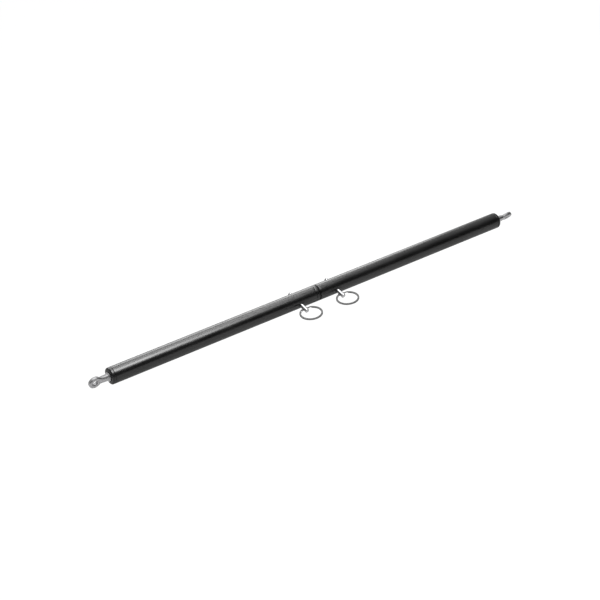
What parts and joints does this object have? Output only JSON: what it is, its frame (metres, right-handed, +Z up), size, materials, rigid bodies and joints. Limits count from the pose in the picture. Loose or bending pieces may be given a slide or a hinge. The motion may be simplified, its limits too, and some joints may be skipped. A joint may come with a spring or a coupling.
{
  "type": "bed cargo bar",
  "caption": "Telescoping round cargo bar that slides apart from a centre seam, locked by detent pins on split rings, with a steel eye at each end.",
  "frame": {"origin": "middle of the bar's footprint, on the floor it lies on", "axes": "+X along the bar towards its longer half, +Y to the back, away from the pin heads and rings, +Z up"},
  "size_m": [0.8024, 0.0725, 0.0254],
  "materials": {
    "black_coat": "gloss powder coat",
    "black_plastic": "satin moulded",
    "nylon": "plain moulded",
    "inner_steel": "bright zinc plated",
    "eye_steel": "bright zinc plated",
    "pin_steel": "polished nickel plated",
    "ring_steel": "nickel plated spring steel",
    "spring_steel": "plain"
  },
  "bodies": {
    "core": {"inner_tube": "inner_steel", "left_inner_plug": "nylon", "right_inner_plug": "nylon"},
    "left_half": {"left_outer_tube": "black_coat", "left_guide_bushing": "black_plastic", "left_end_plug": "black_plastic", "left_eye_bolt": "eye_steel", "left_eye_washer": "eye_steel", "left_eye_nut": "eye_steel"},
    "right_half": {"right_outer_tube": "black_coat", "right_guide_bushing": "black_plastic", "right_end_plug": "black_plastic", "right_eye_bolt": "eye_steel", "right_eye_washer": "eye_steel", "right_eye_nut": "eye_steel"},
    "left_pin": {"left_pin": "pin_steel", "left_detent_spring": "spring_steel"},
    "right_pin": {"right_pin": "pin_steel", "right_detent_spring": "spring_steel"},
    "left_ball": {"left_detent_ball": "pin_steel"},
    "right_ball": {"right_detent_ball": "pin_steel"},
    "left_ring": {"left_split_ring": "ring_steel"},
    "right_ring": {"right_split_ring": "ring_steel"}
  },
  "joints": [
    {"name": "left_extend", "type": "slide", "parent": "core", "child": "left_half", "axis": [-1, 0, 0], "range_m": [0, 0.2286]},
    {"name": "right_extend", "type": "slide", "parent": "core", "child": "right_half", "axis": [1, 0, 0], "range_m": [0, 0.2286]},
    {"name": "left_pin_pull", "type": "slide", "parent": "left_half", "child": "left_pin", "axis": [0, -0.95, -0.3123], "range_m": [0, 0.06]},
    {"name": "right_pin_pull", "type": "slide", "parent": "right_half", "child": "right_pin", "axis": [0, -0.95, -0.3123], "range_m": [0, 0.06]},
    {"name": "left_ball_press", "type": "slide", "parent": "left_pin", "child": "left_ball", "axis": [0.9971, -0.024, 0.0729], "range_m": [0, 0.0006], "stiffness_N_per_m": 1500, "springref_m": -0.0008, "deforming": ["left_detent_spring"]},
    {"name": "right_ball_press", "type": "slide", "parent": "right_pin", "child": "right_ball", "axis": [0.9971, -0.024, 0.0729], "range_m": [0, 0.0006], "stiffness_N_per_m": 1500, "springref_m": -0.0008, "deforming": ["right_detent_spring"]},
    {"name": "left_ring_swing", "type": "hinge", "parent": "left_pin", "child": "left_ring", "pos_m": [-0.0399, -0.00221, 0.00598], "axis": [0.9971, -0.024, 0.0729], "range_deg": [-120, 144]},
    {"name": "right_ring_swing", "type": "hinge", "parent": "right_pin", "child": "right_ring", "pos_m": [0.0295, -0.00221, 0.00598], "axis": [0.9971, -0.024, 0.0729], "range_deg": [-120, 144]}
  ]
}
